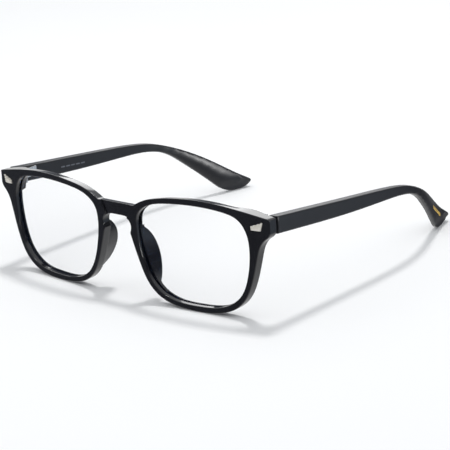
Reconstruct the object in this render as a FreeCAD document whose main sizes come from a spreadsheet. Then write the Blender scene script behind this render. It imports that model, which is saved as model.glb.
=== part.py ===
import FreeCAD, Part
import math
import os
import re

# Full-rim glasses with a keyhole bridge and folding temples, in millimetres.
# +Z is up and -Y is the way the wearer looks. "left" is the wearer's left, at +X.
# Everything is drawn with y = 0 at the front of the bridge, and each piece's Placement
# then moves it back, so that the origin is under the middle of the glasses.
Vector = FreeCAD.Vector
X_AXIS = Vector(1, 0, 0)
Y_AXIS = Vector(0, 1, 0)
Z_AXIS = Vector(0, 0, 1)

SIZES = [
    ("overall_depth", 138.4, "front of the bridge to the end of the tips"),
    ("half_width", 70.6, "middle to the outside of an end piece"),
    ("wrap_radius", 379.0, "curve of the front, seen from above"),
    ("front_thickness", 4.2, "front to back of the rims"),
    ("seat_back", 11.0, "flat back of the end pieces, where the hinges sit"),
    ("seat_inner", 61.6, "where that flat back starts"),
    ("seat_bottom", 32.0, "height above which the end pieces have that flat back"),
    ("seat_ramp", 9.0, "width of the slope from the rim to the flat back"),
    ("bridge_recess", 0.8, "how far the bridge lies behind the rims"),
    ("pad_root", 2.6, "where the nose pads start, inside the rims"),
    ("pad_reach", 10.2, "furthest back that a nose pad comes"),
    ("pad_curve", 12.0, "radius of a nose pad's rear edge, seen from the side"),
    ("pad_middle", 18.4, "height of the middle of a nose pad"),
    ("pad_splay", 0.20, "how much the nose pads spread per millimetre backwards"),
    ("lens_curve", 180.0, "radius of a lens's front"),
    ("lens_thickness", 1.5, "lens"),
    ("lens_inset", 0.35, "top of a lens's curve behind the face of the rim"),
    ("lens_bite", 0.7, "how far a lens goes into its groove"),
    ("groove_play", 0.05, "space round a lens in its groove"),
    ("plaque_across", 65.4, "middle of a plaque, from the middle of the glasses"),
    ("plaque_height", 36.3, "middle of a plaque, above the table"),
    ("plaque_thickness", 0.9, "plaque, half of it sunk in the front"),
    ("plaque_proud", 0.45, "how far a plaque stands out"),
    ("plaque_pin_length", 1.6, "pins behind a plaque"),
    ("plaque_pin_radius", 0.4, "pins behind a plaque"),
    ("temple_front", 11.4, "front end of a temple"),
    ("temple_thickness", 4.4, "temple at the hinge"),
    ("tip_thickness", 3.4, "temple at the tip"),
    ("pivot_across", 63.6, "hinge pin, from the middle of the glasses"),
    ("pivot_back", 12.8, "hinge pin, from the front of the bridge"),
    ("barrel_radius", 1.3, "hinge barrels"),
    ("barrel_bottom", 33.9, "lowest barrel"),
    ("barrel_pitch", 0.94, "barrel and the gap above it"),
    ("barrel_gap", 0.10, "gap between barrels"),
    ("pin_radius", 0.55, "hinge screw's shank"),
    ("pin_play", 0.04, "space round the shank in the barrels"),
    ("pin_head_radius", 1.0, "hinge screw's head"),
    ("pin_head_height", 0.5, "hinge screw's head"),
    ("leaf_thickness", 1.0, "hinge leaves"),
    ("leaf_inner", 60.2, "inner end of a front leaf"),
    ("leaf_outer", 65.9, "outer end of a front leaf"),
    ("leaf_bottom", 34.2, "bottom of the hinge leaves"),
    ("leaf_height", 3.8, "height of the hinge leaves"),
    ("leaf_sunk", 0.8, "how deep a front leaf is let in"),
    ("leaf_length", 8.6, "length of a temple leaf"),
    ("temple_leaf_sunk", 0.5, "how deep a temple leaf is let in"),
    ("fixing_edge", 1.05, "middle of a small fixing screw from the end of a front leaf"),
    ("fixing_radius", 0.45, "shank of the small fixing screws"),
    ("fixing_length", 2.4, "shank of the small fixing screws"),
    ("fixing_head_radius", 0.8, "head of the small fixing screws"),
    ("fixing_head_height", 0.35, "head of the small fixing screws"),
]
BARRELS = 5
SLOT_WIDTH = 0.3
FRONT_FIXING_SHARES = (0.23, 0.77)  # of the height of a front leaf
TEMPLE_FIXING_GAPS = (4.0, 7.0)  # behind the hinge pin

# Outlines of the right-hand half in the front view, as (across, height).
BROW = [(9.3, 37.7), (11.4, 38.9), (15.2, 40.6), (23.3, 42.5), (33.1, 43.6),
        (43.5, 43.8), (53.4, 43.0), (61.6, 41.9), (69.6, 40.6)]
CORNER = [(69.6, 40.6), (70.38, 40.26), (70.6, 39.6)]
RIM_OUTSIDE = [(70.6, 34.3), (69.9, 32.9), (68.2, 31.4), (66.2, 28.9), (64.7, 24.6),
               (63.3, 19.3), (61.2, 12.8), (58.0, 7.0), (53.2, 3.0), (46.7, 0.8), (38.8, 0.0),
               (30.7, 0.3), (23.4, 1.6), (17.5, 4.5), (13.4, 9.1), (10.5, 15.4), (8.3, 21.6),
               (6.7, 26.5)]
KEYHOLE = [(6.7, 26.5), (7.35, 29.0), (6.4, 31.4), (3.6, 32.5), (0.0, 32.6)]
OPENING = [(61.4, 26.5), (60.6, 33.0), (57.4, 37.8), (50.4, 40.2), (37.2, 41.1), (24.3, 40.3),
           (15.6, 38.1), (11.2, 34.3), (10.2, 28.5), (11.5, 20.0), (14.2, 12.2), (18.3, 6.6),
           (25.0, 3.3), (37.2, 2.3), (49.5, 3.9), (56.4, 8.6), (60.0, 16.5)]
CREASE = [(8.1, 39.0), (7.3, 35.4), (6.4, 33.4), (5.2, 31.8)]
PAD_NASAL = [(7.5, 29.8), (8.3, 23.4), (9.8, 17.8), (12.4, 11.2), (16.0, 6.2), (20.0, 3.2)]
PAD_LENS_SIDE = [(21.4, 4.9), (18.0, 7.6), (14.8, 12.0), (12.2, 18.4), (10.8, 23.8), (9.9, 29.8)]
PLAQUE = [(-2.35, -0.95), (1.55, -1.55), (2.45, 1.45), (1.9, 1.55), (1.5, 1.05), (0.4, 1.2),
          (-0.1, 0.75), (-1.3, 0.85), (-1.8, 0.45), (-2.5, 0.55)]
PLAQUE_GROOVES = [(0.05, 0.30), (-0.62, 0.30)]

# The temple, as (back, height) from the side and (back, across) from above.
TEMPLE_TOP = [(11.4, 39.5), (35.0, 36.9), (60.0, 34.2), (80.0, 31.8), (92.0, 29.4),
              (103.5, 25.0), (112.8, 20.2), (121.4, 14.7), (129.8, 8.9), (136.9, 4.4)]
TIP_END = [(136.9, 4.4), (138.2, 3.1), (137.5, 1.5), (134.9, 0.45), (130.4, 0.05), (126.0, 0.85),
           (122.7, 2.8)]
TEMPLE_BOTTOM = [(122.7, 2.8), (115.0, 10.2), (107.4, 17.0), (99.0, 23.3), (88.5, 26.7),
                 (75.0, 28.0), (58.0, 28.9), (40.0, 30.2), (11.4, 32.9)]
TEMPLE_OUTSIDE = [(0.0, 70.6), (25.0, 70.6), (45.0, 70.85), (70.0, 70.9), (90.0, 70.0),
                  (105.0, 67.0), (120.0, 61.3), (132.0, 57.1), (145.0, 54.2)]

document = FreeCAD.newDocument("Glasses")
sheet = document.addObject("Spreadsheet::Sheet", "Sizes")
for row, (alias, value, meaning) in enumerate(SIZES, 1):
    sheet.set("A%d" % row, meaning)
    sheet.set("B%d" % row, str(value))
    sheet.setAlias("B%d" % row, alias)
document.recompute()
ALIASES = [alias for alias, _, _ in SIZES]


def size(alias):
    return float(sheet.get(alias))


def tied(formula):
    """Write the sheet's name in front of each alias in a formula."""
    return re.sub("[a-z_]+", lambda word: "Sizes." + word[0] if word[0] in ALIASES else word[0], formula)


def add(kind, name, bound=None, **properties):
    """Add an object, set its properties, and bind others to formulas on the sheet's cells."""
    item = document.addObject(kind, name)
    return finish(item, bound, properties)


def finish(item, bound, properties):
    for key, value in properties.items():
        setattr(item, key, value)
    for key, formula in (bound or {}).items():
        item.setExpression(key, tied(formula))
    return item


def place(item, x="0", y="0", z="0"):
    """Put an object at a point given from the front of the bridge."""
    item.setExpression("Placement.Base.x", tied(x))
    item.setExpression("Placement.Base.y", tied(y + " - overall_depth / 2"))
    item.setExpression("Placement.Base.z", tied(z))
    return item


def new_body(name):
    return place(add("PartDesign::Body", name))


def feature(body, kind, name, bound=None, **properties):
    return finish(body.newObject("PartDesign::" + kind, name), bound, properties)


def sketch(body, name, plane, curves, offset="0"):
    """Draw on one of the body's own planes, moved along its normal by offset."""
    drawing = body.newObject("Sketcher::SketchObject", name)
    origin_plane = next(item for item in body.Origin.OriginFeatures if item.Role == plane)
    drawing.AttachmentSupport = [(origin_plane, "")]
    drawing.MapMode = "FlatFace"
    drawing.setExpression("AttachmentOffset.Base.z", tied(offset))
    drawing.addGeometry(curves, False)
    return drawing


def flat(points):
    return [Vector(x, y, 0) for x, y in points]


def mirrored(points):
    return [(-x, y) for x, y in reversed(points)]


def smooth(points):
    """A smooth curve through the points."""
    curve = Part.BSplineCurve()
    curve.interpolate(flat(points))
    return curve


def loop(points):
    """A smooth closed curve through the points."""
    curve = Part.BSplineCurve()
    curve.interpolate(Points=flat(points), PeriodicFlag=True)
    return curve


def lines(points):
    corners = flat(points)
    return [Part.LineSegment(start, end) for start, end in zip(corners, corners[1:])]


def polygon(points):
    return lines(points + points[:1])


def arc(start, middle, end):
    return Part.Arc(*flat([start, middle, end]))


def wrap(across, radius):
    """How far back a curve of the front is, at a distance from the middle."""
    return size("wrap_radius") - math.sqrt(radius * radius - across * across)


def grown(points, distance):
    """Move each point of an anticlockwise closed outline outwards, square to its smooth curve."""
    curve = loop(points)
    moved = []
    for x, y in points:
        tangent = curve.tangent(curve.parameter(Vector(x, y, 0)))[0].normalize()
        moved.append((x + distance * tangent.y, y - distance * tangent.x))
    return moved


# ---- Front: one moulding with the rims, bridge, nose pads and end pieces ----
FRONT_SPACE = 1.0
front = new_body("front_moulding")
outline = []
for curve_points in (BROW, CORNER):
    outline += [smooth(curve_points), smooth(mirrored(curve_points))]
outline += [smooth(RIM_OUTSIDE), smooth(mirrored(RIM_OUTSIDE))]
outline += [smooth(KEYHOLE + mirrored(KEYHOLE)[1:])]
outline += lines([CORNER[-1], RIM_OUTSIDE[0]]) + lines(mirrored([CORNER[-1], RIM_OUTSIDE[0]]))
outline += lines([mirrored(BROW)[-1], BROW[0]])
front_view = sketch(front, "front_outline", "XZ_Plane", outline, str(FRONT_SPACE))
feature(front, "Pad", "blank", {"Length": "seat_back + 4"}, Profile=front_view, Reversed=True)

outer_radius = size("wrap_radius")
inner_radius = outer_radius - size("front_thickness")
half_width = size("half_width") + FRONT_SPACE
seat_inner = size("seat_inner")
ramp_foot = seat_inner - size("seat_ramp")
seat_back = size("seat_back")
front_corner = (half_width, wrap(half_width, outer_radius))
ramp = [(ramp_foot, wrap(ramp_foot, inner_radius)), (seat_inner, seat_back), (half_width, seat_back)]
plan = [arc(mirrored([front_corner])[0], (0, 0), front_corner)]
plan += [arc(mirrored(ramp)[-1], (0, size("front_thickness")), ramp[0])]
plan += lines(ramp + [front_corner]) + lines(mirrored(ramp + [front_corner]))
around = polygon([(-90, -10), (90, -10), (90, 30), (-90, 30)])
plan_view = sketch(front, "front_plan", "XY_Plane", plan + around)
feature(front, "Pocket", "wrap", Profile=plan_view, Type="ThroughAll", SideType="Symmetric")

thin_corner = (half_width, wrap(half_width, inner_radius))
thin = [arc(mirrored([thin_corner])[0], (0, size("front_thickness")), thin_corner)]
thin += lines([thin_corner, (half_width, 20), (-half_width, 20), mirrored([thin_corner])[0]])
thin_view = sketch(front, "rim_back", "XY_Plane", thin, "-%s" % FRONT_SPACE)
feature(front, "Pocket", "thin_rims", {"Length": "seat_bottom + %s" % FRONT_SPACE},
        Profile=thin_view, Reversed=True)

holes = sketch(front, "lens_openings", "XZ_Plane", [loop(OPENING), loop(mirrored(OPENING))])
feature(front, "Pocket", "openings", Profile=holes, Type="ThroughAll", SideType="Symmetric")

recess = [smooth(CREASE), smooth(mirrored(CREASE))]
recess += lines([mirrored(CREASE)[-1], CREASE[0]]) + lines([CREASE[-1], mirrored(CREASE)[0]])
recess_view = sketch(front, "bridge_face", "XZ_Plane", recess, str(FRONT_SPACE))
feature(front, "Pocket", "bridge_step", {"Length": "bridge_recess + %s" % FRONT_SPACE},
        Profile=recess_view)

pad_ends = lines([PAD_NASAL[-1], PAD_LENS_SIDE[0]]) + lines([PAD_LENS_SIDE[-1], PAD_NASAL[0]])
pad_view = sketch(front, "pad_outline", "XZ_Plane",
                  [smooth(PAD_NASAL), smooth(PAD_LENS_SIDE)] + pad_ends, "-pad_root")
pad = feature(front, "Pad", "nose_pad", {"Length": "pad_reach"}, Profile=pad_view,
              UseCustomVector=True, Direction=Vector(size("pad_splay"), 1, 0))
middle_plane = next(item for item in front.Origin.OriginFeatures if item.Role == "YZ_Plane")
both_pads = feature(front, "Mirrored", "nose_pads", Originals=[pad], MirrorPlane=(middle_plane, [""]))
front.Tip = both_pads

PAD_FOOT = 5.1
arc_middle = size("pad_reach") - size("pad_curve")
half_height = math.sqrt(size("pad_curve") ** 2 - (PAD_FOOT - arc_middle) ** 2)
low = (PAD_FOOT, size("pad_middle") - half_height)
high = (PAD_FOOT, size("pad_middle") + half_height)
trim = [arc(low, (size("pad_reach"), size("pad_middle")), high)]
trim += lines([high, (PAD_FOOT, 46), (24, 46), (24, -2), (PAD_FOOT, -2), low])
pad_side = sketch(front, "pad_side_view", "YZ_Plane", trim)
feature(front, "Pocket", "pad_trim", {"Length": "50"}, Profile=pad_side, SideType="Symmetric")


# ---- Lenses: slices of a hollow ball, cut to the rim's opening and a little more ----
LENS_DEPTH = 14
lens_across = sum(x for x, _ in OPENING) / len(OPENING)
lens_height = sum(z for _, z in OPENING) / len(OPENING)
lens_turn = math.asin(lens_across / size("wrap_radius"))


def lens_shape(name, growth, play):
    """A lens, or the space for one: growth is past the opening's edge, play round its faces."""
    blank = new_body(name + "_blank")
    edge = sketch(blank, name + "_edge", "XZ_Plane", [loop(grown(OPENING, growth))], "2")
    feature(blank, "Pad", name + "_prism", {"Length": str(LENS_DEPTH)}, Profile=edge, Reversed=True)
    reach = size("lens_curve") + size("lens_inset")
    centre_x = lens_across - reach * math.sin(lens_turn)
    centre_y = wrap(lens_across, size("wrap_radius")) + reach * math.cos(lens_turn)
    balls = []
    for surface, formula in (("front", "lens_curve + %s" % play),
                             ("back", "lens_curve - lens_thickness - %s" % play)):
        ball = add("Part::Sphere", "%s_%s_ball" % (name, surface), {"Radius": formula})
        balls.append(place(ball, str(centre_x), str(centre_y), str(lens_height)))
    shell = add("Part::Cut", name + "_shell", Base=balls[0], Tool=balls[1])
    return add("Part::Common", name, Base=blank, Tool=shell)


lens = lens_shape("lens_left", size("lens_bite"), "0")
lens_seat = lens_shape("lens_seat", size("lens_bite") + size("groove_play"), "groove_play")


# ---- Plaques: small cast metal kites with two grooves and two pins ----
plaque = new_body("plaque_left")
plaque_turn = math.degrees(math.asin(size("plaque_across") / size("wrap_radius")))
plaque_face_y = wrap(size("plaque_across"), size("wrap_radius")) - size("plaque_proud")
place(plaque, "plaque_across", str(plaque_face_y), "plaque_height")
plaque.Placement.Rotation = FreeCAD.Rotation(Z_AXIS, plaque_turn)
kite = sketch(plaque, "kite", "XZ_Plane", polygon(PLAQUE))
feature(plaque, "Pad", "kite_plate", {"Length": "plaque_thickness"}, Profile=kite, Reversed=True)
grooves = []
for height, width in PLAQUE_GROOVES:
    grooves += polygon([(-3, height), (3, height + 0.45), (3, height + 0.45 + width),
                        (-3, height + width)])
groove_view = sketch(plaque, "kite_grooves", "XZ_Plane", grooves)
feature(plaque, "Pocket", "kite_lines", {"Length": "plaque_proud / 2"}, Profile=groove_view)
pins = [Part.Circle(Vector(x, -0.2, 0), Z_AXIS, size("plaque_pin_radius")) for x in (-1.2, 1.2)]
pin_view = sketch(plaque, "kite_pins", "XZ_Plane", pins)
feature(plaque, "Pad", "pins", {"Length": "plaque_thickness + plaque_pin_length"},
        Profile=pin_view, Reversed=True)


# ---- Temples: side outline, trimmed to the curve seen from above ----
temple_body = new_body("temple_moulding")
front_end = lines([TEMPLE_BOTTOM[-1], TEMPLE_TOP[0]])
side = [smooth(TEMPLE_TOP), smooth(TIP_END), smooth(TEMPLE_BOTTOM)] + front_end
side_view = sketch(temple_body, "temple_side", "YZ_Plane", side)
feature(temple_body, "Pad", "temple_blank", {"Length": "half_width + 10"}, Profile=side_view)
last_back = TEMPLE_OUTSIDE[-1][0]
thinning = size("temple_thickness") - size("tip_thickness")
outside = [(across, back) for back, across in TEMPLE_OUTSIDE]
inside = [(across - size("temple_thickness") + thinning * back / last_back, back)
          for back, across in TEMPLE_OUTSIDE]
band = [smooth(outside), smooth(inside)]
band += lines([outside[0], inside[0]]) + lines([outside[-1], inside[-1]])
around = polygon([(-10, -10), (95, -10), (95, 160), (-10, 160)])
band_view = sketch(temple_body, "temple_plan", "XY_Plane", band + around)
feature(temple_body, "Pocket", "temple_curve", Profile=band_view, Type="ThroughAll",
        SideType="Symmetric")


# ---- Hinges: two leaves whose barrels alternate on one screw ----
def screw(name, radius, length, head_radius, head_height, turn):
    """A slotted screw along +Z, its shank's end at the placement."""
    body = new_body(name)
    profile = [(0, 0), (radius, 0), (radius, length), (head_radius, length),
               (head_radius, length + head_height * 0.6),
               (head_radius * 0.75, length + head_height), (0, length + head_height)]
    half = sketch(body, name + "_half", "XZ_Plane", polygon(profile))
    feature(body, "Revolution", name + "_turned", Profile=half, ReferenceAxis=(half, ["V_Axis"]))
    reach = head_radius * 1.2
    slot = polygon([(-reach, -SLOT_WIDTH / 2), (reach, -SLOT_WIDTH / 2),
                    (reach, SLOT_WIDTH / 2), (-reach, SLOT_WIDTH / 2)])
    top = sketch(body, name + "_slot_view", "XY_Plane", slot, str(length + head_height))
    feature(body, "Pocket", name + "_slot", {"Length": str(head_height * 0.6)}, Profile=top)
    body.Placement.Rotation = turn
    return body


def fixing_pair(name, turn, spots):
    """Two small screws, as one group; each spot is where a shank ends."""
    pair = []
    for number, spot in enumerate(spots, 1):
        item = screw("%s_%d" % (name, number), size("fixing_radius"), size("fixing_length"),
                     size("fixing_head_radius"), size("fixing_head_height"), turn)
        pair.append(place(item, *spot))
    return add("Part::Compound", name, Links=pair)


def box(name, x, y, z, length, width, height):
    item = add("Part::Box", name, {"Length": length, "Width": width, "Height": height})
    return place(item, x, y, z)


def hinge_half(name, levels, web, leaf, fixings):
    """One leaf with its barrels; levels count the barrels from the bottom."""
    solids = [box(name + "_leaf", *leaf)]
    for level in levels:
        height = "barrel_bottom + %d * barrel_pitch" % level
        barrel = add("Part::Cylinder", "%s_barrel_%d" % (name, level),
                     {"Radius": "barrel_radius", "Height": "barrel_pitch - barrel_gap"})
        solids.append(place(barrel, "pivot_across", "pivot_back", height))
        x, y, length, width = web
        solids.append(box("%s_web_%d" % (name, level), x, y, height, length, width,
                          "barrel_pitch - barrel_gap"))
    whole = add("Part::MultiFuse", name + "_whole", Shapes=solids, Refine=True)
    bore = add("Part::Cylinder", name + "_bore",
               {"Radius": "pin_radius + pin_play", "Height": "%d * barrel_pitch" % (BARRELS + 2)})
    place(bore, "pivot_across", "pivot_back", "barrel_bottom - barrel_pitch")
    drills = add("Part::Compound", name + "_drills", Links=[bore, fixings])
    return add("Part::Cut", name, Base=whole, Tool=drills)


forwards = FreeCAD.Rotation(Z_AXIS, Y_AXIS)
inwards = FreeCAD.Rotation(Z_AXIS, -X_AXIS)
front_screws = fixing_pair(
    "front_leaf_screws_left", forwards,
    [("leaf_inner + fixing_edge", "seat_back + leaf_thickness - leaf_sunk - fixing_length",
      "leaf_bottom + %s * leaf_height" % share) for share in FRONT_FIXING_SHARES])
temple_screws = fixing_pair(
    "temple_leaf_screws_left", inwards,
    [("half_width - temple_thickness + temple_leaf_sunk - leaf_thickness + fixing_length",
      "pivot_back + %s" % gap, "leaf_bottom + leaf_height / 2 - 0.2") for gap in TEMPLE_FIXING_GAPS])
front_hinge = hinge_half(
    "front_hinge_left", (1, 3),
    ("pivot_across - barrel_radius", "seat_back - leaf_sunk", "2 * barrel_radius",
     "pivot_back - seat_back + leaf_sunk"),
    ("leaf_inner", "seat_back - leaf_sunk", "leaf_bottom",
     "leaf_outer - leaf_inner", "leaf_thickness", "leaf_height"),
    front_screws)
temple_hinge = hinge_half(
    "temple_hinge_left", (0, 2, 4),
    ("pivot_across", "pivot_back - 0.1",
     "half_width - temple_thickness + temple_leaf_sunk - pivot_across", "barrel_radius + 0.1"),
    ("half_width - temple_thickness + temple_leaf_sunk - leaf_thickness", "pivot_back + 0.2",
     "leaf_bottom", "leaf_thickness", "leaf_length", "leaf_height"),
    temple_screws)

ring_height = 0.4
stack = BARRELS * size("barrel_pitch") - size("barrel_gap")
hinge_screw = screw("hinge_screw_left", size("pin_radius"), stack + ring_height,
                    size("pin_head_radius"), size("pin_head_height"), FreeCAD.Rotation())
place(hinge_screw, "pivot_across", "pivot_back", "barrel_bottom - %s" % ring_height)
ring = add("Part::Cylinder", "ring_blank", {"Radius": "pin_head_radius", "Height": str(ring_height)})
ring_hole = add("Part::Cylinder", "ring_hole", {"Radius": "pin_radius + 0.01", "Height": "2"})
for item, drop in ((ring, ring_height), (ring_hole, 1)):
    place(item, "pivot_across", "pivot_back", "barrel_bottom - %s" % drop)
lock_ring = add("Part::Cut", "lock_ring_left", Base=ring, Tool=ring_hole)


# ---- Let the small pieces into the plastic, and mirror the wearer's left for the right ----
def mirror(item, name):
    return add("Part::Mirroring", name, Source=item, Normal=X_AXIS)


parts = {}
front_cutters = add("Part::Compound", "front_cutters",
                    Links=[lens_seat, plaque, front_hinge, front_screws])
other_cutters = mirror(front_cutters, "front_cutters_mirrored")
half_cut = add("Part::Cut", "front_half_cut", Base=front, Tool=front_cutters)
parts["front_frame"] = add("Part::Cut", "front_frame", Base=half_cut, Tool=other_cutters)
temple_cutters = add("Part::Compound", "temple_cutters", Links=[temple_hinge, temple_screws])
temple = add("Part::Cut", "temple_left", Base=temple_body, Tool=temple_cutters)
for item in (lens, plaque, temple, front_hinge, temple_hinge, hinge_screw, lock_ring,
             front_screws, temple_screws):
    other = item.Label.replace("_left", "_right")
    parts[item.Label] = item
    parts[other] = mirror(item, other)
document.recompute()

# ---- Check everything, then write one STEP file for each piece ----
for item in document.Objects:
    faults = [word for word in ("Invalid", "Error") if word in item.State]
    if faults:
        raise RuntimeError("%s failed: %s" % (item.Label, faults))
os.makedirs("parts", exist_ok=True)
for name, item in parts.items():
    item.Label = name
    shape = item.Shape
    if shape.isNull() or not shape.isValid():
        raise RuntimeError("%s has no valid shape" % name)
    shape.exportStep("parts/%s.step" % name)
    box_size = shape.BoundBox
    print("%-26s %d solids %8.1f mm3  x %.1f..%.1f  y %.1f..%.1f  z %.1f..%.1f" % (
        name, len(shape.Solids), shape.Volume, box_size.XMin, box_size.XMax,
        box_size.YMin, box_size.YMax, box_size.ZMin, box_size.ZMax))
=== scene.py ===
# %% [markdown]
# # A pair of blue light glasses
# The object is a black moulded frame with a keyhole bridge, two clear lenses, two folding
# temples, small metal plaques and small hinges. The engineering model is already packed, and
# this lesson makes the looks: smooth mouldings with rounded edges, real finishes, soft light.
# Every length below is given in millimetres and becomes metres when a mesh is finished.

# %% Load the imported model
import math

import bmesh
import bpy
import numpy as np
from mathutils import Matrix, Vector


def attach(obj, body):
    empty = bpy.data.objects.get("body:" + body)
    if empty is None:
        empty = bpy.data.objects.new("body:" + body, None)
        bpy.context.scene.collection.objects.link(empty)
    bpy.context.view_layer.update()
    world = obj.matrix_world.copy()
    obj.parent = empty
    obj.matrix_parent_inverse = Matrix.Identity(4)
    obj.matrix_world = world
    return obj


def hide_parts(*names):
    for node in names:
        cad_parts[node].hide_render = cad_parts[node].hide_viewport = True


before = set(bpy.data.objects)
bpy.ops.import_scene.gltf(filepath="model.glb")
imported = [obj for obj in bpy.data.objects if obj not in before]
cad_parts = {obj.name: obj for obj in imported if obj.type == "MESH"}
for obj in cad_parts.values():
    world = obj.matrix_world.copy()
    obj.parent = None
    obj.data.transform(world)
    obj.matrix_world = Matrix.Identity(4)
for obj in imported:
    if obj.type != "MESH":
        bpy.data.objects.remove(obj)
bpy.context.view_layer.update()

# %% [markdown]
# ## The curves of the frame
# A moulded frame is drawn as a few smooth curves in the front view, and then bent round the
# face. The same points that the engineering model uses are kept here, for one half only,
# because the other half is its mirror image. Each point is (across, height).

# %% Points of the front
MM = 0.001
FRONT_BACK_SHIFT = -69.2        # from the front of the bridge to the middle of the glasses
BROW = [(9.3, 37.7), (11.4, 38.9), (15.2, 40.6), (23.3, 42.5), (33.1, 43.6),
        (43.5, 43.8), (53.4, 43.0), (61.6, 41.9), (69.6, 40.6)]
CORNER = [(69.6, 40.6), (70.38, 40.26), (70.6, 39.6)]
RIM_OUTSIDE = [(70.6, 34.3), (69.9, 32.9), (68.2, 31.4), (66.2, 28.9), (64.7, 24.6),
               (63.3, 19.3), (61.2, 12.8), (58.0, 7.0), (53.2, 3.0), (46.7, 0.8),
               (38.8, 0.0), (30.7, 0.3), (23.4, 1.6), (17.5, 4.5), (13.4, 9.1),
               (10.5, 15.4), (8.3, 21.6), (6.7, 26.5)]
KEYHOLE = [(6.7, 26.5), (7.35, 29.0), (6.4, 31.4), (3.6, 32.5), (0.0, 32.6),
           (-3.6, 32.5), (-6.4, 31.4), (-7.35, 29.0), (-6.7, 26.5)]
OPENING = [(61.4, 26.5), (60.6, 33.0), (57.4, 37.8), (50.4, 40.2), (37.2, 41.1),
           (24.3, 40.3), (15.6, 38.1), (11.2, 34.3), (10.2, 28.5), (11.5, 20.0),
           (14.2, 12.2), (18.3, 6.6), (25.0, 3.3), (37.2, 2.3), (49.5, 3.9), (56.4, 8.6),
           (60.0, 16.5)]
CREASE = [(7.8, 37.7), (7.3, 35.4), (6.4, 33.4), (5.3, 31.95)]
print("front outline:", len(BROW + CORNER + RIM_OUTSIDE + KEYHOLE), "given points")

# %% [markdown]
# A curve through points is sampled with a cubic spline: between two points the height is a
# cubic, and the pieces join without a kink. A closed curve is made by running a little past
# its own start and end, and keeping the middle turn.

# %% Sample a smooth curve


def smooth(points, step=1.2, closed=False):
    """Points about step apart on a smooth curve; every given point is kept."""
    given = np.array(points, float)
    extra = 4 if closed else 0
    if closed:
        given = np.vstack([given[-extra:], given, given[:extra + 1]])
    spans = np.linalg.norm(np.diff(given, axis=0), axis=1)
    count = len(given)
    left, right = np.zeros((count, count)), np.zeros((count, 2))
    left[0, 0] = left[-1, -1] = 1
    for i in range(1, count - 1):
        left[i, i - 1:i + 2] = spans[i - 1], 2 * (spans[i - 1] + spans[i]), spans[i]
        right[i] = 6 * ((given[i + 1] - given[i]) / spans[i]
                        - (given[i] - given[i - 1]) / spans[i - 1])
    bend = np.linalg.solve(left, right)
    found = []
    for i in range(extra, count - 1 - extra):
        pieces = max(1, math.ceil(spans[i] / step))
        for part in range(pieces):
            b = part / pieces
            a = 1 - b
            curl = ((a ** 3 - a) * bend[i] + (b ** 3 - b) * bend[i + 1]) * spans[i] ** 2 / 6
            found.append(tuple(a * given[i] + b * given[i + 1] + curl))
    if not closed:
        found.append(tuple(given[-1]))
    return found


opening = smooth(OPENING, closed=True)
print("opening has", len(opening), "points")

# %% [markdown]
# The front is not flat: it wraps round the face on a large circle, seen from above. It is
# easiest to build flat, and to bend it at the end by pushing each point back by the circle's
# depth at its distance from the middle.

# %% The wrap of the front and the ball that the lenses are cut from
WRAP_RADIUS = 379.0
LENS_CURVE = 180.0
LENS_INSET = 0.35
LENS_THICKNESS = 1.5
LENS_ACROSS = float(np.mean([x for x, _ in OPENING]))
LENS_HEIGHT = float(np.mean([z for _, z in OPENING]))


def wrap(across):
    return WRAP_RADIUS - math.sqrt(WRAP_RADIUS ** 2 - across ** 2)


lens_turn = math.asin(LENS_ACROSS / WRAP_RADIUS)
lens_reach = LENS_CURVE + LENS_INSET
lens_centre = (LENS_ACROSS - lens_reach * math.sin(lens_turn),
               wrap(LENS_ACROSS) + lens_reach * math.cos(lens_turn))


def lens_face(across, height):
    """How far back the front of a lens lies."""
    side, rise = abs(across) - lens_centre[0], height - LENS_HEIGHT
    return lens_centre[1] - math.sqrt(LENS_CURVE ** 2 - side ** 2 - rise ** 2)


print("lens middle", round(LENS_ACROSS, 2), round(LENS_HEIGHT, 2),
      "depth there", round(lens_face(LENS_ACROSS, LENS_HEIGHT), 2))

# %% [markdown]
# ## Helpers for every moulding
# A moulding starts as a flat outline. Its edges are filled, extruded and bevelled, then cut
# into narrow strips so that it can bend. These helpers do each of those steps with bmesh
# operators, and finish_piece turns millimetres into metres and makes the object.

# %% Outline, strips and finish


def add_loop(mesh, points):
    """A ring of edges in the front view."""
    ring = [mesh.verts.new((x, 0.0, z)) for x, z in points]
    return [mesh.edges.new(pair) for pair in zip(ring, ring[1:] + ring[:1])]


def everything(mesh):
    return mesh.verts[:] + mesh.edges[:] + mesh.faces[:]


def cut(mesh, point, normal, geometry=None, dist=0.02):
    bmesh.ops.bisect_plane(mesh, geom=geometry or everything(mesh), dist=dist,
                           plane_co=point, plane_no=normal)


def strips(mesh, start, end, step, axis=0):
    """Cut a mesh square to an axis every step."""
    normal = [0, 0, 0]
    normal[axis] = 1
    for place in np.arange(start, end, step):
        cut(mesh, [place * part for part in normal], normal)


def round_edges(mesh, edges, width, segments):
    bmesh.ops.bevel(mesh, geom=edges, offset=width, offset_type="OFFSET", affect="EDGES",
                    segments=segments, profile=0.5, material=-1, clamp_overlap=False)


SHARP = math.radians(38)


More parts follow.
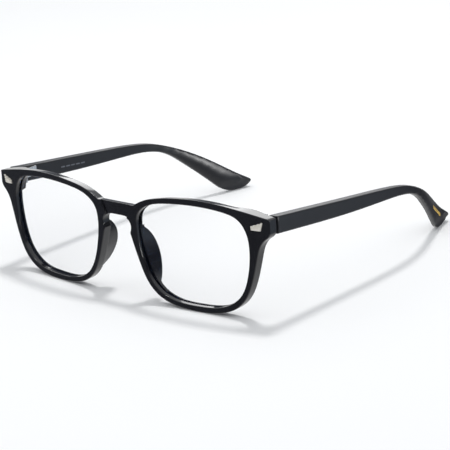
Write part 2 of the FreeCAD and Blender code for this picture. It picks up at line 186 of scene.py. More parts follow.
def finish_piece(mesh, name, body, replaced=(), weighted=True):
    """Metres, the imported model's place, outward faces, smooth shading with crisp corners."""
    bmesh.ops.remove_doubles(mesh, verts=mesh.verts, dist=0.002)
    bmesh.ops.recalc_face_normals(mesh, faces=mesh.faces)
    bmesh.ops.translate(mesh, verts=mesh.verts, vec=(0, FRONT_BACK_SHIFT, 0))
    bmesh.ops.scale(mesh, verts=mesh.verts, vec=(MM, MM, MM))
    data = bpy.data.meshes.new(name)
    mesh.to_mesh(data)
    mesh.free()
    data.shade_smooth()
    data.set_sharp_from_angle(angle=SHARP)
    piece = bpy.data.objects.new(name, data)
    bpy.context.scene.collection.objects.link(piece)
    if weighted:
        shading = piece.modifiers.new("flat faces stay flat", "WEIGHTED_NORMAL")
        shading.keep_sharp = True
        shading.weight = 80
    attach(piece, body)
    if replaced:
        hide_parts(*replaced)
    print(name, len(data.vertices), "points,", len(data.polygons), "faces")
    return piece


# %% [markdown]
# ## The front
# The real front is one injection moulding: two rims, the bridge, the nose pads and the thick
# end pieces. Half of it is filled as a flat face with a hole. Filling makes triangles, which
# bevel badly, so one cut above and below the hole lets every other inner edge be dissolved.

# %% Half of the front as flat faces
OUTLINE_STEP = 0.9
BRIDGE_TOP = (0.0, 37.7)
BRIDGE_CORNERS = [(7.5, 37.7), (7.8, 37.7)]


def flat_half():
    mesh = bmesh.new()
    keyhole = [point for point in smooth(KEYHOLE, 0.3) if point[0] > -1e-6]
    points = [BRIDGE_TOP] + BRIDGE_CORNERS + smooth(BROW, OUTLINE_STEP)
    points += smooth(CORNER, 0.4)[1:] + smooth(RIM_OUTSIDE, OUTLINE_STEP) + keyhole[1:]
    outer_edges = add_loop(mesh, points)
    inner_edges = add_loop(mesh, opening)
    bmesh.ops.triangle_fill(mesh, use_beauty=True, use_dissolve=False, normal=(0, -1, 0),
                            edges=outer_edges + inner_edges)
    cut(mesh, (LENS_ACROSS, 0, 0), (1, 0, 0), dist=0.1)
    inner = [edge for edge in mesh.edges if len(edge.link_faces) == 2
             and any(abs(corner.co.x - LENS_ACROSS) > 0.11 for corner in edge.verts)]
    bmesh.ops.dissolve_edges(mesh, edges=inner, use_verts=False)
    return mesh


half = flat_half()
print("flat half:", len(half.faces), "faces,", len(half.verts), "points")

# %% [markdown]
# The bridge lies a little behind the rims, with a crease at each side. A face can be split
# along a line, so the crease is two such lines close together: the strip between them
# becomes a steep step once the bridge has moved back.

# %% Split off the bridge
STEP_WIDTH = 0.3


def nearest(mesh, x, z):
    return min(mesh.verts, key=lambda v: (v.co.x - x) ** 2 + (v.co.z - z) ** 2)


def split_along(mesh, line):
    first, last = nearest(mesh, *line[0]), nearest(mesh, *line[-1])
    shared = [face for face in first.link_faces if face in last.link_faces][0]
    middle = [Vector((x, 0, z)) for x, z in smooth(line, 1.0)[1:-1]]
    bmesh.utils.face_split(shared, first, last, coords=middle)


split_along(half, CREASE)
split_along(half, [(x - STEP_WIDTH, z) for x, z in CREASE])
corner_point = nearest(half, *BRIDGE_TOP)
bridge_face = min(corner_point.link_faces, key=lambda face: face.calc_area())
print("bridge face", round(bridge_face.calc_area(), 1), "square mm")

# %% Thickness, mirror image and the step of the bridge
THICKNESS = 4.2
BRIDGE_RECESS = 0.8
NEAR_OPENING = 0.8              # square of the distance within which a wall is the opening's
bridge_points = bridge_face.verts[:]
grown = bmesh.ops.extrude_face_region(half, geom=half.faces[:])["geom"]
back_points = [item for item in grown if isinstance(item, bmesh.types.BMVert)]
bmesh.ops.translate(half, verts=back_points, vec=(0, THICKNESS, 0))
bmesh.ops.translate(half, verts=bridge_points, vec=(0, BRIDGE_RECESS, 0))
on_middle = [face for face in half.faces if all(abs(v.co.x) < 1e-4 for v in face.verts)]
bmesh.ops.delete(half, geom=on_middle, context="FACES_ONLY")
for face in half.faces:
    middle = face.calc_center_median()
    wall = all(0.0 < v.co.x for v in face.verts) and abs(face.normal.y) < 0.5
    near = min((middle.x - x) ** 2 + (middle.z - z) ** 2 for x, z in opening)
    face.material_index = 1 if wall and near < NEAR_OPENING else 0
bmesh.ops.mirror(half, geom=everything(half), matrix=Matrix.Identity(4), merge_dist=0.01,
                 axis="X")
bmesh.ops.remove_doubles(half, verts=half.verts, dist=0.01)
middle_edges = [edge for edge in half.edges if len(edge.link_faces) == 2
                and all(abs(v.co.x) < 1e-3 for v in edge.verts)]
bmesh.ops.dissolve_edges(half, edges=middle_edges, use_verts=True)
bmesh.ops.recalc_face_normals(half, faces=half.faces)
front = half
print("solid front:", len(front.faces), "faces, open edges",
      sum(len(edge.link_faces) != 2 for edge in front.edges))

# %% [markdown]
# Polished plastic shows its shape through the thin bright lines on its edges, so the edges
# are really rounded: tightly at the front, where the real one is crisp, and more at the back,
# which is tumbled smooth where it meets the face.

# %% Round the edges
FRONT_ROUND = 0.32
BACK_ROUND = 0.95


def outline_edges(mesh, back):
    """Edges between a wall and the front, or the back, of a flat moulding."""
    found = []
    for edge in mesh.edges:
        if len(edge.link_faces) != 2:
            continue
        turned = sorted(abs(face.normal.y) for face in edge.link_faces)
        deep = max(v.co.y for v in edge.verts) > THICKNESS - 0.01
        if turned[0] < 0.3 and turned[1] > 0.9 and deep == back:
            found.append(edge)
    return found


round_edges(front, outline_edges(front, back=True), BACK_ROUND, 4)
round_edges(front, outline_edges(front, back=False), FRONT_ROUND, 3)
print("rounded front:", len(front.faces), "faces")

# %% [markdown]
# ## End pieces, wrap and lens groove
# The end pieces are thicker than the rims, and flat at the back, where the hinges sit. Cuts
# mark where the slope to that flat back starts and ends, and strips are cut all along. The
# top of the brow also falls a little towards the back.

# %% Thick end pieces
SEAT_BACK = 11.0
SEAT_INNER, SEAT_FOOT = 61.6, 52.6
SEAT_BOTTOM, SEAT_LEDGE = 32.0, 31.5
for side in (-1, 1):
    cut(front, (side * SEAT_INNER, 0, 0), (1, 0, 0), dist=0.01)
    cut(front, (side * SEAT_FOOT, 0, 0), (1, 0, 0), dist=0.01)
for level in (SEAT_BOTTOM, SEAT_LEDGE):
    cut(front, (0, 0, level), (0, 0, 1), dist=0.01)
strips(front, -70, 71, 2.0)


def slope(value, start, end):
    return min(1.0, max(0.0, (value - start) / (end - start)))


BACK_HALF = 2.4                 # points further back than this belong to the back
for point in front.verts:
    x, y, z = point.co
    climb = slope(abs(x), SEAT_FOOT, SEAT_INNER)
    share = climb * climb * (3 - 2 * climb) * slope(z, SEAT_LEDGE, SEAT_BOTTOM)
    if y > BACK_HALF:
        seat = SEAT_BACK - THICKNESS - wrap(x)
        point.co.y += share * seat
brow_line = np.array(smooth(BROW, 1.0))
TOP_FALL = ((0.0, 4.2, 8.0, 11.0), (0.0, 0.65, 1.25, 1.1))   # depths, and the fall at each
FALL_BAND, FALL_FULL = 2.0, 0.3                              # below the brow line
for point in front.verts:
    x, y, z = point.co
    top = np.interp(abs(x), brow_line[:, 0], brow_line[:, 1])
    point.co.z -= np.interp(y + wrap(x), *TOP_FALL) * slope(z, top - FALL_BAND, top - FALL_FULL)
print("deepest point", round(max(v.co.y + wrap(v.co.x) for v in front.verts), 2))

# %% [markdown]
# The lens sits in a groove that runs round the inside of each rim. The wall of the opening is
# cut at two depths, and the band between them is pushed into the plastic. The two cuts then
# move so that the groove follows the ball shape of the lens.

# %% Cut the groove and bend the front
GROOVE_DEPTH = 0.75
GROOVE_FRONT, GROOVE_BACK = 1.35, 2.85
GROOVE_PLAY = 0.04              # between the lens and each side of its groove
for depth in (GROOVE_FRONT, GROOVE_BACK):
    walls = [face for face in front.faces if face.material_index == 1]
    edges = list({edge for face in walls for edge in face.edges})
    points = list({point for face in walls for point in face.verts})
    cut(front, (0, depth, 0), (0, 1, 0), walls + edges + points, dist=0.01)
bmesh.ops.recalc_face_normals(front, faces=front.faces)
band = [face for face in front.faces if face.material_index == 1
        and all(GROOVE_FRONT - 0.02 < v.co.y < GROOVE_BACK + 0.02 for v in face.verts)]
bmesh.ops.inset_region(front, faces=band, thickness=0.01, depth=-GROOVE_DEPTH,
                       use_even_offset=True, use_boundary=True)
groove_points = {v for face in band for v in face.verts}
groove_points |= {edge.other_vert(v) for v in groove_points for edge in v.link_edges}
for point in front.verts:
    point.co.y += wrap(point.co.x)
for point in groove_points:
    flat_depth = point.co.y - wrap(point.co.x)
    if abs(flat_depth - GROOVE_FRONT) < 0.1:
        point.co.y = lens_face(point.co.x, point.co.z) - GROOVE_PLAY
    elif abs(flat_depth - GROOVE_BACK) < 0.1:
        behind_lens = lens_face(point.co.x, point.co.z) + LENS_THICKNESS
        point.co.y = behind_lens + GROOVE_PLAY
for face in front.faces:
    face.material_index = 0
print("groove faces", len(band))

# %% [markdown]
# ## The nose pads
# Each pad is a smooth lobe behind the inner side of its rim, part of the same moulding. Its
# outline in the front view is extruded backwards in layers, and each layer stops at an arc
# seen from the side, so that the lobe is deepest in its middle. It spreads as it goes back.

# %% Nose pad
PAD_NASAL = [(7.5, 29.8), (8.3, 23.4), (9.8, 17.8), (12.4, 11.2), (16.0, 6.2), (20.0, 3.2)]
PAD_LENS_SIDE = [(21.4, 4.9), (18.0, 7.6), (14.8, 12.0), (12.2, 18.4), (10.8, 23.8),
                 (9.9, 29.8)]
PAD_STEP = 0.9
PAD_ROOT = 2.6
PAD_REACH, PAD_CURVE, PAD_MIDDLE, PAD_SPLAY = 10.2, 12.0, 18.4, 0.20
PAD_FOOT = 4.2
PAD_ROUND = 0.8
PAD_TAPER = 0.22                # the lens side leans in by this much per millimetre
PAD_TAPER_WIDTH = 3.0           # the lean grows over this width


def pad_depth(height):
    rise = min(abs(height - PAD_MIDDLE), PAD_CURVE - 0.5)
    arc = PAD_REACH - PAD_CURVE + math.sqrt(PAD_CURVE ** 2 - rise ** 2)
    return max(PAD_FOOT, arc)


def nose_pads():
    mesh = bmesh.new()
    edges = add_loop(mesh, smooth(PAD_NASAL, PAD_STEP) + smooth(PAD_LENS_SIDE, PAD_STEP))
    bmesh.ops.contextual_create(mesh, geom=edges)
    bmesh.ops.recalc_face_normals(mesh, faces=mesh.faces)
    strips(mesh, 2, 31, PAD_STEP, axis=2)
    lifted = bmesh.ops.extrude_face_region(mesh, geom=mesh.faces[:])["geom"]
    back = [item for item in lifted if isinstance(item, bmesh.types.BMVert)]
    for point in back:
        point.co.y = pad_depth(point.co.z) - PAD_ROOT
    bmesh.ops.recalc_face_normals(mesh, faces=mesh.faces)
    rim = set(back)
    rear = [edge for edge in mesh.edges if all(v in rim for v in edge.verts)
            and min(abs(face.normal.y) for face in edge.link_faces) < 0.3]
    round_edges(mesh, rear, PAD_ROUND, 5)
    for point in mesh.verts:
        nasal = np.interp(-point.co.z, [-z for _, z in PAD_NASAL], [x for x, _ in PAD_NASAL])
        point.co.x += PAD_SPLAY * point.co.y
        point.co.x -= PAD_TAPER * point.co.y * slope(point.co.x - nasal, 0.0, PAD_TAPER_WIDTH)
        point.co.y += PAD_ROOT
    bmesh.ops.mirror(mesh, geom=everything(mesh), matrix=Matrix.Identity(4), merge_dist=-1,
                     axis="X")
    bmesh.ops.recalc_face_normals(mesh, faces=mesh.faces)
    return mesh


pads = nose_pads()
print("pads:", len(pads.faces), "faces")

# %% [markdown]
# The pads and the rims are one piece of plastic, so the two meshes are joined by a Boolean
# modifier, which keeps only the outside of both. It is applied at once, and the result is
# shaded like any other moulding.

# %% Join the pads to the front


def as_object(mesh, name):
    data = bpy.data.meshes.new(name)
    mesh.to_mesh(data)
    mesh.free()
    thing = bpy.data.objects.new(name, data)
    bpy.context.scene.collection.objects.link(thing)
    return thing


bmesh.ops.remove_doubles(front, verts=front.verts, dist=0.002)
bmesh.ops.recalc_face_normals(front, faces=front.faces)
rims, lobes = as_object(front, "rims"), as_object(pads, "lobes")
union = rims.modifiers.new("pads", "BOOLEAN")
union.operation, union.solver, union.object = "UNION", "MANIFOLD", lobes
evaluated = rims.evaluated_get(bpy.context.evaluated_depsgraph_get())
joined = bmesh.new()
joined.from_mesh(evaluated.to_mesh())
for helper in (rims, lobes):
    bpy.data.objects.remove(helper)
front_piece = finish_piece(joined, "front_moulding", "front", ["front_frame"])

# %% [markdown]
# ## The temples
# A temple is drawn from the side, with its drop and its tip, and then takes its curve seen
# from above. It is built flat and bent, as the front is, and thins towards the tip.

# %% Points of a temple
TEMPLE_TOP = [(11.4, 39.5), (35.0, 36.9), (60.0, 34.2), (80.0, 31.8), (92.0, 29.4),
              (103.5, 25.0), (112.8, 20.2), (121.4, 14.7), (129.8, 8.9), (136.9, 4.4)]
TIP_END = [(136.9, 4.4), (138.2, 3.1), (137.5, 1.5), (134.9, 0.45), (130.4, 0.05),
           (126.0, 0.85), (122.7, 2.8)]
TEMPLE_BOTTOM = [(122.7, 2.8), (115.0, 10.2), (107.4, 17.0), (99.0, 23.3), (88.5, 26.7),
                 (75.0, 28.0), (58.0, 28.9), (40.0, 30.2), (11.4, 32.9)]
TEMPLE_OUTSIDE = [(0.0, 70.6), (25.0, 70.6), (45.0, 70.85), (70.0, 70.9), (90.0, 70.0),
                  (105.0, 67.0), (120.0, 61.3), (132.0, 57.1), (145.0, 54.2)]
TEMPLE_THICKNESS, TIP_THICKNESS = 4.4, 3.4
TEMPLE_ROUND = 0.55
bend_line = np.array(smooth(TEMPLE_OUTSIDE, 1.0))


def temple_outside(back):
    return float(np.interp(back, bend_line[:, 0], bend_line[:, 1]))


def temple_thickness(back):
    whole = TEMPLE_OUTSIDE[-1][0]
    return TEMPLE_THICKNESS - (TEMPLE_THICKNESS - TIP_THICKNESS) * back / whole


print("temple thickness at the tip", round(temple_thickness(TEMPLE_TOP[-1][0]), 2))

# %% How far a point is from the middle of the temple's side, and how round the side is
CROWN_MAIN, CROWN_TIP = 0.10, 0.60
CROWN_FROM, CROWN_TO = 85.0, 112.0
LEAST_HEIGHT = 4.0              # keeps the end of the tip from bulging
top_line = np.array(smooth(TEMPLE_TOP, 1.0))
bottom_line = np.array(smooth(TEMPLE_BOTTOM, 1.0))[::-1]


def across_temple(back, height):
    """-1 on the lower outline, 0 in the middle and 1 on the upper outline."""
    top = np.interp(back, top_line[:, 0], top_line[:, 1])
    bottom = np.interp(back, bottom_line[:, 0], bottom_line[:, 1])
    return (2 * height - top - bottom) / max(top - bottom, LEAST_HEIGHT)


def temple_crown(back):
    return CROWN_MAIN + (CROWN_TIP - CROWN_MAIN) * slope(back, CROWN_FROM, CROWN_TO)


def temple_side(back, height, share):
    """How far out a point of the temple is; share 0 is its outside and 1 its inside."""
    edge = min(1.0, abs(across_temple(back, height)))
    crown = temple_crown(back) * edge ** 2 * temple_thickness(back) / 2
    return temple_outside(back) - share * temple_thickness(back) - crown * (1 - 2 * share)


print("temple", temple_outside(TEMPLE_TOP[0][0]), "to",
      round(temple_outside(TEMPLE_TOP[-1][0]), 1), "mm across")

# %% [markdown]
# The outline is filled as one face and extruded by the thickness. All its edges get a small
# round, which is small at the front too, since that end closes against the end piece. Then
# the strips are bent to the curve from above, and the tip is crowned to sit behind the ear.

# %% Build one temple flat
TEMPLE_STEP, TIP_STEP = 1.6, 0.8


def temple_mesh(side):
    mesh = bmesh.new()
    outline = smooth(TEMPLE_TOP, TEMPLE_STEP)[:-1] + smooth(TIP_END, TIP_STEP)[:-1]
    outline += smooth(TEMPLE_BOTTOM, TEMPLE_STEP)
    edges = add_loop(mesh, outline)
    bmesh.ops.contextual_create(mesh, geom=edges)
    lifted = bmesh.ops.extrude_face_region(mesh, geom=mesh.faces[:])["geom"]
    inner = [item for item in lifted if isinstance(item, bmesh.types.BMVert)]
    bmesh.ops.translate(mesh, verts=inner, vec=(0, TEMPLE_THICKNESS, 0))
    bmesh.ops.recalc_face_normals(mesh, faces=mesh.faces)
    faces = [face for face in mesh.faces if abs(face.normal.y) > 0.9]
    long_edges = list({edge for face in faces for edge in face.edges})
    round_edges(mesh, long_edges, TEMPLE_ROUND, 4)
    strips(mesh, 12, 139, 1.5)
    strips(mesh, 0, 41, 2.5, axis=2)
    for point in mesh.verts:
        back, depth, height = point.co
        x = temple_side(back, height, depth / TEMPLE_THICKNESS)
        point.co = (side * x, back, height)
    return mesh


for side, name in ((1, "left"), (-1, "right")):
    finish_piece(temple_mesh(side), "temple_moulding_" + name, "temple_" + name,
                 ["temple_" + name])

# %% [markdown]
# A plain gilt bar is printed outside the left tip, and a plain pale dashed line inside the
# right temple. Each dash is a thin box that follows the curved side and stands just proud.

# %% Printed marks
MARK_PROUD, MARK_SUNK = 0.03, 0.06
MARK_STEPS = 8


def mark_mesh(side, share, dashes, half_height):
    mesh = bmesh.new()
    outwards = 1 - 2 * share
    for start, end in dashes:
        rings = []
        for step in range(MARK_STEPS + 1):
            back, middle = np.array(start) + (np.array(end) - start) * step / MARK_STEPS
            ring = []
            for rise, lift in ((-1, MARK_PROUD), (1, MARK_PROUD), (1, -MARK_SUNK),
                               (-1, -MARK_SUNK)):
                height = middle + rise * half_height
                x = temple_side(back, height, share) + outwards * lift
                ring.append(mesh.verts.new((side * x, back, height)))
            rings.append(ring)
        for first, second in zip(rings, rings[1:]):
            for one in range(4):
                two = (one + 1) % 4
                mesh.faces.new((first[one], first[two], second[two], second[one]))
        mesh.faces.new(rings[0])
        mesh.faces.new(rings[-1])
    return mesh


GILT_HALF_HEIGHT, DASH_HALF_HEIGHT = 0.75, 0.28
GILT_BAR = [((118.6, 12.4), (128.4, 5.7))]
DASH_STARTS = [36.0 + 2.9 * number for number in range(5)]
PALE_DASHES = [((back, 37.0 - 0.1 * back), (back + 2.2, 36.8 - 0.1 * back))
               for back in DASH_STARTS]
gilt_mark = finish_piece(mark_mesh(1, 0, GILT_BAR, GILT_HALF_HEIGHT), "gilt_mark_left",
                         "temple_left", weighted=False)
pale_mark = finish_piece(mark_mesh(-1, 1, PALE_DASHES, DASH_HALF_HEIGHT), "pale_mark_right",
                         "temple_right", weighted=False)

# %% [markdown]
# ## The lenses
# Each lens is a thin shell cut from a large ball and goes a little way into its groove. The
# flat outline is cut into a grid, each point is moved onto the ball, and the back is the same
# sheet again, one thickness further back.

# %% Lenses
LENS_BITE = 0.6


def lens_mesh(side):
    mesh = bmesh.new()
    edges = add_loop(mesh, opening)
    bmesh.ops.contextual_create(mesh, geom=edges)
    bmesh.ops.inset_region(mesh, faces=mesh.faces[:], thickness=LENS_BITE, use_outset=True,
                           use_boundary=True, use_even_offset=True)
    ring = [edge for edge in mesh.edges if len(edge.link_faces) == 2]
    bmesh.ops.dissolve_edges(mesh, edges=ring, use_verts=True)
    strips(mesh, 8, 64, 2.0)
    strips(mesh, 0, 43, 2.0, axis=2)
    lifted = bmesh.ops.extrude_face_region(mesh, geom=mesh.faces[:])["geom"]
    back = [item for item in lifted if isinstance(item, bmesh.types.BMVert)]
    bmesh.ops.translate(mesh, verts=back, vec=(0, LENS_THICKNESS, 0))
    for point in mesh.verts:
        point.co.y += lens_face(point.co.x, point.co.z)
        point.co.x *= side
    return mesh


for side, name in ((1, "left"), (-1, "right")):
    finish_piece(lens_mesh(side), "lens_shell_" + name, "front", ["lens_" + name],
                 weighted=False)

# %% [markdown]
# ## Small metal parts
# The plaques, hinge halves, screws and rings already have their exact shape. A copy of each
# is merged and cleaned, and a live Bevel modifier breaks its edges as tumbling does. The
# plaques also lean up a little towards the outside.

# %% Metal parts with broken edges


PLAQUE_LEAN, PLAQUE_MIDDLE = 0.14, 65.3         # rise per millimetre outwards from there


def broken_edges(node, name, body, slot, width):
    mesh = bmesh.new()
    mesh.from_mesh(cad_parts[node].data)
    bmesh.ops.remove_doubles(mesh, verts=mesh.verts, dist=0.000002)
    bmesh.ops.dissolve_limit(mesh, verts=mesh.verts, edges=mesh.edges,
                             angle_limit=math.radians(1))
    bmesh.ops.scale(mesh, verts=mesh.verts, vec=(1 / MM, 1 / MM, 1 / MM))
    bmesh.ops.translate(mesh, verts=mesh.verts, vec=(0, -FRONT_BACK_SHIFT, 0))
    if slot == "plaque":
        for point in mesh.verts:
            point.co.z += PLAQUE_LEAN * (abs(point.co.x) - PLAQUE_MIDDLE)
    piece = finish_piece(mesh, name, body, [node], weighted=False)
    edge = piece.modifiers.new("broken edges", "BEVEL")
    edge.width, edge.segments, edge.limit_method = width * MM, 2, "ANGLE"
    edge.angle_limit = math.radians(35)
    edge.harden_normals = True
    return piece


metal = {}
for side in ("left", "right"):
    temple = "temple_" + side
    for node, body, slot, width in (
            ("plaque", "front", "plaque", 0.07), ("front_hinge", "front", "hinge", 0.08),
            ("temple_hinge", temple, "hinge", 0.08), ("hinge_screw", temple, "screw", 0.05),
            ("lock_ring", temple, "screw", 0.05), ("front_leaf_screws", "front", "screw", 0.05),
            ("temple_leaf_screws", temple, "screw", 0.05)):
        key = "%s_%s" % (node, side)
        metal[key] = broken_edges(key, key + "_metal", body, slot, width)
print(len(metal), "metal parts")

# %% [markdown]
# ## Finishes
# The front is polished black plastic: almost no colour of its own, a clear gloss, and a very
# faint waviness left by the mould. The finish is made from noise on Object coordinates, so it
# stays put when the glasses turn.

# %% A helper for node materials


def new_finish(name, **values):
    finish = bpy.data.materials.new(name)
    finish.use_nodes = True
    shader = finish.node_tree.nodes["Principled BSDF"]
    for key, value in values.items():
        shader.inputs[key.replace("_", " ")].default_value = value
    return finish, finish.node_tree, shader


def noise(tree, scale, detail=3.0, stretch=(1, 1, 1)):
    place = tree.nodes.new("ShaderNodeTexCoord")
    mapping = tree.nodes.new("ShaderNodeMapping")
    mapping.inputs["Scale"].default_value = stretch
    grain = tree.nodes.new("ShaderNodeTexNoise")
    grain.inputs["Scale"].default_value = scale
    grain.inputs["Detail"].default_value = detail
    tree.links.new(place.outputs["Object"], mapping.inputs["Vector"])
    tree.links.new(mapping.outputs["Vector"], grain.inputs["Vector"])
    return grain.outputs["Fac"]


def ramp(tree, source, low, high, start=0.3, end=0.7):
    """Turn a pattern into a range of values or colours."""
    blend = tree.nodes.new("ShaderNodeValToRGB")
    for stop, place, colour in zip(blend.color_ramp.elements, (start, end), (low, high)):
        stop.position = place
        stop.color = (*colour, 1) if isinstance(colour, tuple) else (colour, colour, colour, 1)
    tree.links.new(source, blend.inputs["Fac"])
    return blend.outputs["Color"]


def waviness(tree, shader, source, depth):
    bump = tree.nodes.new("ShaderNodeBump")
    bump.inputs["Distance"].default_value = depth * MM
    tree.links.new(source, bump.inputs["Height"])
    tree.links.new(bump.outputs["Normal"], shader.inputs["Normal"])


print("finish helpers ready")

# %% Polished black plastic, and the satin black of the temples


def black_plastic(name, colour, low, high, depth, grain_scale):
    finish, tree, shader = new_finish(name, IOR=1.5)
    tone = ramp(tree, noise(tree, 60), colour, tuple(1.5 * part for part in colour))
    tree.links.new(tone, shader.inputs["Base Color"])
    gloss = ramp(tree, noise(tree, 240, 5), low, high)
    tree.links.new(gloss, shader.inputs["Roughness"])
    waviness(tree, shader, noise(tree, grain_scale, 4), depth)
    return finish


polished = black_plastic("polished_black_plastic", (0.007, 0.007, 0.009), 0.05, 0.10, 0.0015,
                         160)
satin = black_plastic("satin_black_plastic", (0.006, 0.0065, 0.009), 0.31, 0.35, 0.0003, 900)
print("plastics made")

# %% [markdown]
# The lens is clear and carries a coating that reflects a little blue. Most light goes
# straight through it, so it is made mostly transparent, and the coating's colour shows only
# where the lens turns away from the eye.

# %% Coated lens
clear, tree, shader = new_finish("coated_lens", Roughness=0.03, IOR=1.5)
facing = tree.nodes.new("ShaderNodeLayerWeight")
facing.inputs["Blend"].default_value = 0.25
film = ramp(tree, facing.outputs["Facing"], 0.006, 0.10, 0.0, 1.0)
tree.links.new(film, shader.inputs["Alpha"])
tint = ramp(tree, noise(tree, 25), (0.02, 0.05, 0.14), (0.03, 0.07, 0.18))
tree.links.new(tint, shader.inputs["Base Color"])
print("lens made")

# %% [markdown]
# The plaques are pale champagne metal, cast and brushed. The hinges are nickel plated and the
# screws are bright steel. Each is a metal with fine noise in its roughness.

# %% Metals


def metal_finish(name, light, dark, low, high, scale, stretch):
    finish, tree, shader = new_finish(name, Metallic=1.0)
    tree.links.new(ramp(tree, noise(tree, scale, 4, stretch), light, dark),
                   shader.inputs["Base Color"])
    tree.links.new(ramp(tree, noise(tree, scale * 2, 5, stretch), low, high),
                   shader.inputs["Roughness"])
    waviness(tree, shader, noise(tree, scale, 3, stretch), 0.004)
    return finish


champagne = metal_finish("champagne_metal", (1.0, 0.96, 0.88), (0.92, 0.87, 0.78),
                         0.40, 0.55, 1500, (1, 1, 4))
champagne.node_tree.nodes["Principled BSDF"].inputs["Metallic"].default_value = 0.3
nickel = metal_finish("nickel_plate", (0.74, 0.73, 0.71), (0.62, 0.61, 0.60), 0.18, 0.30,
                      1800, (1, 1, 1))
steel = metal_finish("bright_steel", (0.66, 0.66, 0.68), (0.55, 0.55, 0.57), 0.15, 0.28,
                     2500, (1, 1, 1))


def wear(piece, finish):
    piece.data.materials.clear()
    piece.data.materials.append(finish)


gilt = metal_finish("gilt_print", (0.95, 0.66, 0.16), (0.85, 0.55, 0.12), 0.35, 0.45, 1500,
                    (1, 1, 1))
gilt.node_tree.nodes["Principled BSDF"].inputs["Metallic"].default_value = 0.4
pale_ink = black_plastic("pale_ink", (0.10, 0.11, 0.13), 0.4, 0.5, 0.0005, 900)
wear(gilt_mark, gilt)
wear(pale_mark, pale_ink)
wear(front_piece, polished)
for side in ("left", "right"):
    wear(bpy.data.objects["temple_moulding_" + side], satin)
    wear(bpy.data.objects["lens_shell_" + side], clear)
for key, piece in metal.items():
    wear(piece, champagne if "plaque" in key else steel if "screw" in key or "ring" in key
         else nickel)
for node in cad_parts.values():
    wear(node, polished)
print("every piece has its finish")

# %% [markdown]
# ## Stage, light and camera
# A pale floor and a small key lamp, nearly overhead, make the soft shadows. The floor is kept
# out of reflections, because the sky below the horizon stands in for it there.

# %% Floor
floor_mesh = bmesh.new()
bmesh.ops.create_grid(floor_mesh, x_segments=2, y_segments=2, size=6.0)
floor = as_object(floor_mesh, "floor")
floor_finish, floor_tree, floor_shader = new_finish("pale_floor", Roughness=0.9)
floor_shader.inputs["Specular IOR Level"].default_value = 0.0
floor_tree.links.new(ramp(floor_tree, noise(floor_tree, 3), 0.90, 0.92),
                     floor_shader.inputs["Base Color"])
wear(floor, floor_finish)

floor.visible_glossy = False
bpy.context.scene.view_settings.view_transform = "Standard"
print("floor ready")

# %% [markdown]
# Black plastic shows little but its surroundings. Above the horizon the sky is bright at the
# top, with a dark band lower down. Below it, the sky behind the glasses is bright at the left,
# dark in the middle and blue-grey at the right, and steep views find a bright ground.

# %% The sky, and helpers that mix it
world = bpy.data.worlds.new("pale_sky")
bpy.context.scene.world = world
world.use_nodes = True
sky_tree = world.node_tree
sky = sky_tree.nodes["Background"]
SKY_STRENGTH = 0.95
sky.inputs["Strength"].default_value = SKY_STRENGTH


def spread(source, low, high):
    """Spread one part of a direction over the whole of a ramp."""
    stretch = sky_tree.nodes.new("ShaderNodeMapRange")
    stretch.inputs["From Min"].default_value = low
    stretch.inputs["From Max"].default_value = high
    sky_tree.links.new(source, stretch.inputs["Value"])
    return stretch.outputs["Result"]


def mixed(share, first, second):
    mix = sky_tree.nodes.new("ShaderNodeMixRGB")
    for key, source in (("Fac", share), ("Color1", first), ("Color2", second)):
        sky_tree.links.new(source, mix.inputs[key])
    return mix.outputs["Color"]


def add_stops(blend, stops):
    for place, colour in stops:
        blend.node.color_ramp.elements.new(place).color = (*colour, 1)


print("sky strength", SKY_STRENGTH)

# %% Paint the sky by direction
direction = sky_tree.nodes.new("ShaderNodeTexCoord")
split = sky_tree.nodes.new("ShaderNodeSeparateXYZ")
sky_tree.links.new(direction.outputs["Generated"], split.inputs["Vector"])
WHITE = (1.0, 1.0, 1.0)
above = ramp(sky_tree, split.outputs["Z"], (0.40, 0.41, 0.44), (0.96, 0.98, 1.0), 0.0, 0.55)
add_stops(above, ((0.10, (0.16, 0.17, 0.19)), (0.36, (0.12, 0.13, 0.15))))
sideways = spread(split.outputs["X"], -1.0, 1.0)
behind = ramp(sky_tree, sideways, WHITE, (0.50, 0.58, 0.68), 0.24, 0.84)
add_stops(behind, ((0.40, (0.14, 0.14, 0.15)), (0.66, (0.12, 0.12, 0.14))))
before = ramp(sky_tree, sideways, (0.16, 0.17, 0.20), (0.20, 0.21, 0.24), 0.2, 0.8)
level_view = mixed(spread(split.outputs["Y"], 0.0, 0.4), before, behind)
ground = ramp(sky_tree, sideways, WHITE, (0.98, 0.99, 1.0), 0.4, 0.6)
below = mixed(spread(split.outputs["Z"], -0.40, -0.60), level_view, ground)
halves = mixed(spread(split.outputs["Z"], -0.02, 0.02), below, above)
sky_tree.links.new(halves, sky.inputs["Color"])
print("sky nodes:", len(sky_tree.nodes))

# %% [markdown]
# Three strip lamps only make highlights: one behind for the top of the brow, one low at the
# side for the drop of a tip, and one at the left. They are hidden from matt surfaces.

# %% Lamps
LAMP_TARGET = Vector((0, 0, 0.02))
STRIP_DISTANCE = 1.1


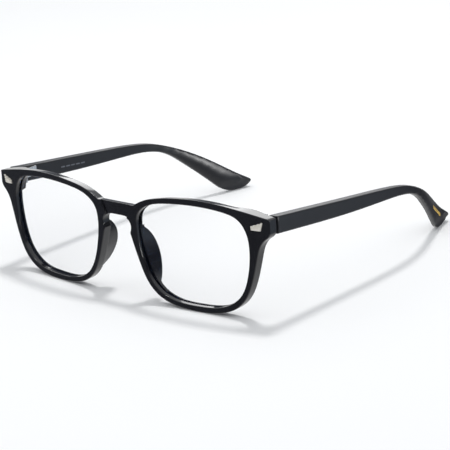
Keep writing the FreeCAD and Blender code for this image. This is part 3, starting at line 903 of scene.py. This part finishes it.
def lamp(name, azimuth, elevation, distance, width, power):
    """A square lamp that looks at the glasses; azimuth 0 is in front, 90 at the wearer's left."""
    data = bpy.data.lights.new(name, "AREA")
    data.size, data.energy = width, power
    thing = bpy.data.objects.new(name, data)
    bpy.context.scene.collection.objects.link(thing)
    turn, rise = math.radians(azimuth), math.radians(elevation)
    away = Vector((math.sin(turn) * math.cos(rise), -math.cos(turn) * math.cos(rise),
                   math.sin(rise)))
    thing.location = LAMP_TARGET + away * distance
    thing.rotation_euler = away.to_track_quat("Z", "Y").to_euler()
    return thing


lamp("key", azimuth=201, elevation=76, distance=1.2, width=0.17, power=5.6)
STRIPS = (("back_strip", 218, 22, 0.36, 1.3), ("side_strip", 104, 5, 0.16, 5.0),
          ("left_strip", 262, 44, 0.45, 3.0))
for name, azimuth, elevation, width, power in STRIPS:
    strip = lamp(name, azimuth, elevation, STRIP_DISTANCE, width, power)
    strip.visible_diffuse = False

# %% [markdown]
# The lens of the camera is long, as for a product picture, and the camera is rolled a little.

# %% Camera
AZIMUTH, ELEVATION, ROLL = math.radians(42.29), math.radians(17.40), math.radians(-4.18)
DISTANCE, FOCAL = 739.85, 147.17
AIM = Vector((0.0, 60.0 + FRONT_BACK_SHIFT, 22.0))
AIM_RIGHT, AIM_UP = 1.26, -9.82
away = Vector((math.sin(AZIMUTH) * math.cos(ELEVATION), -math.cos(AZIMUTH) * math.cos(ELEVATION),
               math.sin(ELEVATION)))
level = Vector((0, 0, 1)).cross(away).normalized()
upright = away.cross(level)
right = math.cos(ROLL) * level + math.sin(ROLL) * upright
up = -math.sin(ROLL) * level + math.cos(ROLL) * upright
camera_data = bpy.data.cameras.new("camera")
camera_data.sensor_width, camera_data.lens = 36.0, FOCAL
camera_data.clip_end = 20
camera = bpy.data.objects.new("camera", camera_data)
bpy.context.scene.collection.objects.link(camera)
place = (AIM + AIM_RIGHT * right + AIM_UP * up + DISTANCE * away) * MM
camera.matrix_world = Matrix.Translation(place) @ Matrix((right, up, away)).transposed().to_4x4()
bpy.context.scene.camera = camera
print("camera at", [round(value, 3) for value in place])
